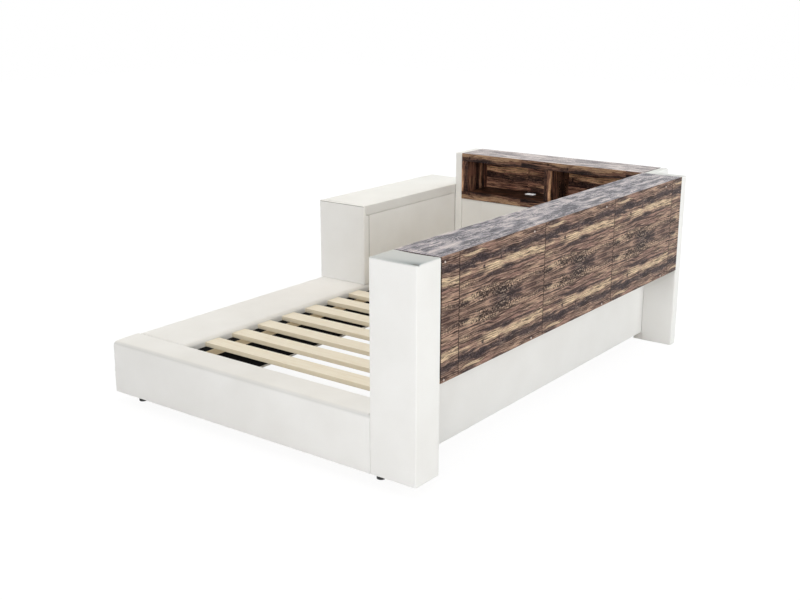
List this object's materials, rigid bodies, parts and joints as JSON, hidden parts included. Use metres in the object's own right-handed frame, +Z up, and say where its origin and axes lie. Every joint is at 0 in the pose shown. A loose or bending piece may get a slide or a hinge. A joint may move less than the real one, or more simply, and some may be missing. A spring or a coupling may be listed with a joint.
{
  "type": "upholstered storage bed",
  "caption": "Low platform bed with padded rails, a slatted base, a bookcase headboard, a bookcase along one side and a lidded storage arm on the other.",
  "frame": {"origin": "on the floor, below the middle of the bed's bounding box", "axes": "X across the bed with the side bookcase at +X, Y from the foot rail to the headboard, Z up"},
  "size_m": [1.541, 2.257, 0.812],
  "materials": {
    "leather": "white faux leather over foam, fine grain, soft sheen",
    "timber": "plain board, hidden inside the padding",
    "pine": "planed pine, no lacquer",
    "print_wood": "laminated board with a rustic brown plank pattern, satin",
    "black_cloth": "black non-woven cloth and webbing",
    "black_plastic": "black moulded plastic",
    "white_plastic": "off-white moulded plastic",
    "steel": "zinc-plated steel"
  },
  "bodies": {
    "frame": {"foot_rail_frame": "timber", "foot_rail_cover": "leather", "ledge_frame": "timber", "ledge_cover": "leather", "side_rail_frame": "timber", "side_rail_cover": "leather", "rail_linings": "black_cloth", "left_ledger": "pine", "right_ledger": "pine", "slats": "pine", "slat_straps": "black_cloth", "corner_brackets": "steel", "bracket_bolts": "steel", "feet": "black_plastic", "post_frame": "timber", "post_cover": "leather", "rear_end_frame": "timber", "rear_end_cover": "leather", "case_top": "print_wood", "case_floor": "print_wood", "case_uprights": "print_wood", "case_back_strips": "print_wood", "case_back_panels": "print_wood", "case_screws": "white_plastic", "head_left_frame": "timber", "head_left_cover": "leather", "head_right_frame": "timber", "head_right_cover": "leather", "head_cross_rail": "timber", "head_panel_board": "timber", "head_panel_pad": "leather", "shelf_top": "print_wood", "shelf_floor": "print_wood", "shelf_uprights": "print_wood", "shelf_back": "print_wood", "charging_unit": "black_plastic", "charging_plate": "white_plastic", "arm_front_board": "timber", "arm_front_cover": "leather", "arm_end_frame": "timber", "arm_end_cover": "leather", "arm_inner_board": "timber", "arm_inner_cover": "leather", "arm_outer_board": "timber", "arm_outer_cover": "leather", "arm_head_board": "timber", "arm_floor": "timber", "hinge_box_leaf": "steel", "hinge_pin": "steel", "hinge_box_screws": "steel"},
    "lid": {"lid_board": "timber", "lid_cover": "leather", "hinge_lid_leaf": "steel", "hinge_lid_screws": "steel"}
  },
  "joints": [
    {"name": "lid_hinge", "type": "hinge", "parent": "frame", "child": "lid", "pos_m": [-0.767, 0.638, 0.5985], "axis": [0, -1, 0], "range_deg": [0, 95]}
  ]
}
